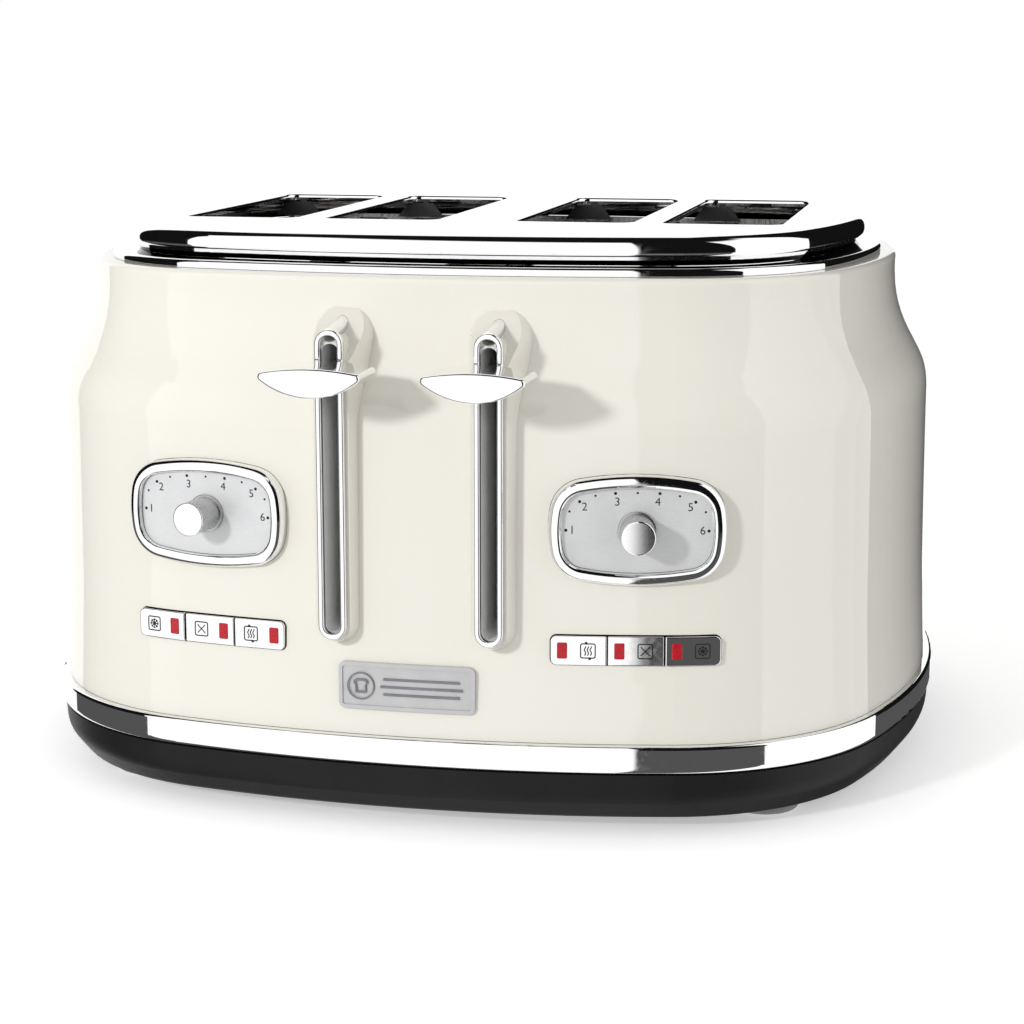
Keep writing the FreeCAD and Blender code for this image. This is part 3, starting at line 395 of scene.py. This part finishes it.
def frame_plate(shape, outer, inner, low, high):
    """A raised band between two outlines of equally many points."""
    rings = [[shape.verts.new((x, y, z)) for x, y in points]
             for points, z in ((outer, low), (outer, high), (inner, high), (inner, low))]
    for one, two in zip(rings, rings[1:] + rings[:1]):
        for i in range(len(one)):
            j = (i + 1) % len(one)
            shape.faces.new((one[i], one[j], two[j], two[i]))


def circle(x, y, radius, count=28):
    turns = [2 * math.pi * i / count for i in range(count)]
    return [(x + radius * math.cos(turn), y + radius * math.sin(turn)) for turn in turns]


def rounded_square(x, y, half, radius, steps=6):
    points = []
    for quarter in range(4):
        middle = math.pi / 4 + quarter * math.pi / 2
        cx = x + math.copysign(half - radius, math.cos(middle))
        cy = y + math.copysign(half - radius, math.sin(middle))
        for i in range(steps + 1):
            turn = middle - math.pi / 4 + i * math.pi / 2 / steps
            points.append((cx + radius * math.cos(turn), cy + radius * math.sin(turn)))
    return points


def bar(shape, x, y, length, width, turn, low, high):
    """A straight stroke with its middle at x, y."""
    along = Vector((math.cos(turn), math.sin(turn))) * length / 2
    across = Vector((-math.sin(turn), math.cos(turn))) * width / 2
    middle = Vector((x, y))
    points = [middle + along * a + across * b for a, b in ((-1, -1), (1, -1), (1, 1), (-1, 1))]
    plate(shape, [tuple(point) for point in points], low, high)


def letters(shape, text, height, x, y, low, high):
    """Upright lettering with its middle at x, y."""
    curve = bpy.data.curves.new("lettering", "FONT")
    curve.body = text
    curve.size = height / DIGIT_SHARE
    curve.align_x = "CENTER"
    curve.align_y = "CENTER"
    curve.extrude = (high - low) / 2
    curve.resolution_u = 6
    holder = bpy.data.objects.new("lettering", curve)
    mesh = bpy.data.meshes.new_from_object(holder)
    mesh.transform(Matrix.Translation((x, y, (low + high) / 2)))
    shape.from_mesh(mesh)
    bpy.data.objects.remove(holder)
    bpy.data.meshes.remove(mesh)


def facing(inward, middle):
    """Placement whose Z faces outwards, against inward, with X level and to the viewer's right."""
    out = -Vector(inward).normalized()
    right = UP.cross(out).normalized()
    up = out.cross(right)
    place = Matrix((right, up, out)).transposed().to_4x4()
    place.translation = middle
    return place


def front_middle(node, inward):
    """Middle of a node's foremost face, looking along inward."""
    out = -Vector(inward).normalized()
    right = UP.cross(out).normalized()
    points = [vertex.co for vertex in nodes[node].data.vertices]
    across = [point.dot(right) for point in points]
    heights = [point.z for point in points]
    depth = max(point.dot(out) for point in points)
    return (right * (min(across) + max(across)) / 2 + out * depth
            + UP * (min(heights) + max(heights)) / 2)


# ---- Dials: numbers and dots ----

DOT_HALF_WIDTH = 23.2 * MM
DOT_RISE = 12.4 * MM
DOT_CURVE = 2.9
DOT_STEPS = 10
DOT_SIDES = 16
BIG_DOT = 0.52 * MM
SMALL_DOT = 0.38 * MM
NUMBER_HEIGHT = 2.7 * MM
NUMBER_SIDE_INSET = 2.0 * MM
NUMBER_TOP_INSET = 3.0 * MM
INK = 0.03 * MM


def build_dial_print(shape):
    for i in range(DOT_STEPS + 1):
        turn = math.pi * (1 - i / DOT_STEPS)
        x = DOT_HALF_WIDTH * math.cos(turn)
        y = DOT_RISE * max(1 - abs(math.cos(turn)) ** DOT_CURVE, 0) ** (1 / DOT_CURVE)
        numbered = i % 2 == 0
        radius = BIG_DOT if numbered else SMALL_DOT
        plate(shape, circle(x, y, radius, DOT_SIDES), 0, INK)
        if numbered:
            letters(shape, str(i // 2 + 1), NUMBER_HEIGHT,
                    x - NUMBER_SIDE_INSET * math.cos(turn),
                    y - NUMBER_TOP_INSET * math.sin(turn), 0, INK)


for side in ("left", "right"):
    inward = joints[f"knob_{side}_turn"]["axis"]
    plate_front = front_middle(f"dial_face_{side}", inward)
    make_mesh(f"dial_print_{side}", build_dial_print, print_ink, "casing",
              facing(inward, plate_front))


# ---- Button marks: a star, a cross and warm wisps, each in a frame ----

MARK_HALF = 2.6 * MM
MARK_LINE = 0.42 * MM
MARK_OFFSET = 3.1 * MM
MARK_RISE = 0.03 * MM
MARK_CORNER = 0.8 * MM
CROSS_LENGTH = 4.2 * MM
STROKE = 0.36 * MM
STAR_LENGTH = 3.5 * MM
STAR_TIP_REACH = 1.35 * MM
STAR_TIP_LENGTH = 0.95 * MM
STAR_TIP_STROKE = 0.34 * MM
WISP_STEPS = 6
WISP_STEP = 0.52 * MM
WISP_SPACING = 0.95 * MM
WISP_SWAY = 0.22 * MM
WISP_TURN = 1.5
WISP_TILT = 0.5
WISP_OVERLAP = 1.25
WISP_STROKE = 0.38 * MM
KNOT_OFFSET = 0.6 * MM
KNOT_RADIUS = 0.5 * MM
KNOT_SIDES = 12
KNOT_RISE = 1.2 * MARK_RISE


def add_cross(shape, x):
    for turn in (math.pi / 4, -math.pi / 4):
        bar(shape, x, 0, CROSS_LENGTH, STROKE, turn, 0, MARK_RISE)


def add_star(shape, x):
    for i in range(4):
        bar(shape, x, 0, STAR_LENGTH, STROKE, i * math.pi / 4, 0, MARK_RISE)
    for i in range(8):
        turn = i * math.pi / 4
        bar(shape, x + STAR_TIP_REACH * math.cos(turn), STAR_TIP_REACH * math.sin(turn),
            STAR_TIP_LENGTH, STAR_TIP_STROKE, turn + math.pi / 2, 0, MARK_RISE)


def add_wisps(shape, x):
    """Three wavy upright strokes, and a round knot on the frame above and below."""
    for row in (-1, 0, 1):
        for i in range(WISP_STEPS):
            low = (i - WISP_STEPS / 2) * WISP_STEP
            sway = WISP_SWAY * math.sin(i * WISP_TURN)
            bar(shape, x + row * WISP_SPACING + sway, low + WISP_STEP / 2,
                WISP_STEP * WISP_OVERLAP, WISP_STROKE,
                math.pi / 2 - WISP_TILT * math.cos(i * WISP_TURN), 0, MARK_RISE)
    for sign in (-1, 1):
        knot = circle(x + sign * KNOT_OFFSET, -sign * MARK_HALF, KNOT_RADIUS, KNOT_SIDES)
        plate(shape, knot, 0, KNOT_RISE)


SYMBOLS = {"reheat": add_wisps, "cancel": add_cross, "defrost": add_star}


def build_mark(kind, x):
    def build(shape):
        outer = rounded_square(x, 0, MARK_HALF, MARK_CORNER)
        inner = rounded_square(x, 0, MARK_HALF - MARK_LINE, MARK_CORNER - MARK_LINE)
        frame_plate(shape, outer, inner, 0, MARK_RISE)
        SYMBOLS[kind](shape, x)
    return build


for side, outwards in (("left", -1), ("right", 1)):
    for kind in ("reheat", "cancel", "defrost"):
        body = f"{kind}_button_{side}"
        inward = joints[f"{kind}_{side}_press"]["axis"]
        make_mesh(f"{kind}_mark_{side}", build_mark(kind, outwards * MARK_OFFSET), print_ink, body,
                  facing(inward, front_middle(body, inward)))


# ---- Red windows with rounded corners and a low dome, over the lenses ----

LENS_HALF_WIDTH = 1.7 * MM
LENS_HALF_HEIGHT = 2.75 * MM
LENS_RISE = 0.28 * MM
LENS_STEPS = 4
LENS_CORNER = 0.5 * MM
LENS_DOME_INSET = 0.35 * MM


def build_window(shape):
    """Rounded outlines stacked upwards, each a little smaller than the one below."""
    layers = []
    for i in range(LENS_STEPS + 1):
        turn = math.pi / 2 * i / LENS_STEPS
        inset = LENS_DOME_INSET * (1 - math.cos(turn))
        height = LENS_RISE * math.sin(turn)
        outline = rounded_square(0, 0, LENS_HALF_WIDTH - inset, LENS_CORNER)
        lift = LENS_HALF_HEIGHT - LENS_HALF_WIDTH
        layers.append([shape.verts.new((x, y + math.copysign(lift, y), height))
                       for x, y in outline])
    for one, two in zip(layers, layers[1:]):
        for i in range(len(one)):
            j = (i + 1) % len(one)
            shape.faces.new((one[i], one[j], two[j], two[i]))
    shape.faces.new(layers[0][::-1])
    shape.faces.new(layers[-1])


for side in ("left", "right"):
    for kind in ("reheat", "cancel", "defrost"):
        inward = joints[f"{kind}_{side}_press"]["axis"]
        lens = f"{kind}_lens_{side}"
        middle = front_middle(lens, inward)
        out = -Vector(inward).normalized()
        button = nodes[f"{kind}_button_{side}"].data
        button_front = max(vertex.co.dot(out) for vertex in button.vertices)
        middle += out * (button_front - middle.dot(out))
        window = make_mesh(f"{kind}_window_{side}", build_window, materials["red_lens"],
                           f"{kind}_button_{side}", facing(inward, middle))
        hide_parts(lens)


# ---- Badge: a ring round a slice of bread, and a row of ribs ----

BADGE_RISE = 0.35 * MM
BADGE_RIM_RISE = 0.5 * MM
EMBLEM_X = -15.6 * MM
EMBLEM_RADIUS = 4.7 * MM
EMBLEM_LINE = 0.4 * MM
EMBLEM_SIDES = 48
# The slice's outline in millimetres, and its inside as a share of it.
SLICE = [(-1.9, -2.4), (1.9, -2.4), (1.9, 0.3), (2.5, 1.0), (2.4, 1.9), (1.6, 2.4), (0, 2.5),
         (-1.6, 2.4), (-2.4, 1.9), (-2.5, 1.0), (-1.9, 0.3)]
SLICE_INSIDE = 0.74
RIB_X = 5.2 * MM
RIB_SPACING = 2.6 * MM
RIB_LENGTH = 28.0 * MM
RIB_SHORTENING = 2.0 * MM
RIB_WIDTH = 0.8 * MM


def build_badge_mark(shape):
    frame_plate(shape, circle(EMBLEM_X, 0, EMBLEM_RADIUS, EMBLEM_SIDES),
                circle(EMBLEM_X, 0, EMBLEM_RADIUS - EMBLEM_LINE, EMBLEM_SIDES), 0, BADGE_RISE)
    outer = [(EMBLEM_X + x * MM, y * MM) for x, y in SLICE]
    inner = [(EMBLEM_X + x * SLICE_INSIDE * MM, y * SLICE_INSIDE * MM) for x, y in SLICE]
    frame_plate(shape, outer, inner, 0, BADGE_RISE)
    for row in (-1, 0, 1):
        bar(shape, RIB_X, row * RIB_SPACING, RIB_LENGTH - RIB_SHORTENING * abs(row), RIB_WIDTH, 0,
            0, BADGE_RISE)


badge_low, badge_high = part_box("badge_plate")
badge_middle = Vector(((badge_low.x + badge_high.x) / 2, badge_low.y + BADGE_RIM_RISE,
                       (badge_low.z + badge_high.z) / 2))
make_mesh("badge_mark", build_badge_mark, etched, "casing",
          facing((0, 1, 0), badge_middle))


# ---- Floor ----

FLOOR_HALF = 6.0
FLOOR_DROP = 0.0002
FLOOR_GLOW = 0.42


def build_floor(shape):
    corners = ((-1, -1), (1, -1), (1, 1), (-1, 1))
    shape.faces.new([shape.verts.new((x * FLOOR_HALF, y * FLOOR_HALF, -FLOOR_DROP))
                     for x, y in corners])


floor_paint = finish("floor_paint", ((0.90, 0.90, 0.90), (0.92, 0.92, 0.92)), (0.7, 0.8),
                     patch=0.3, grain=0.01, relief=0)
floor_shader = floor_paint.node_tree.nodes["Principled BSDF"]
floor_shader.inputs["Emission Color"].default_value = grey(1.0)
floor_shader.inputs["Emission Strength"].default_value = FLOOR_GLOW
floor = make_mesh("floor", build_floor, floor_paint)
floor.visible_glossy = False
floor.visible_diffuse = False
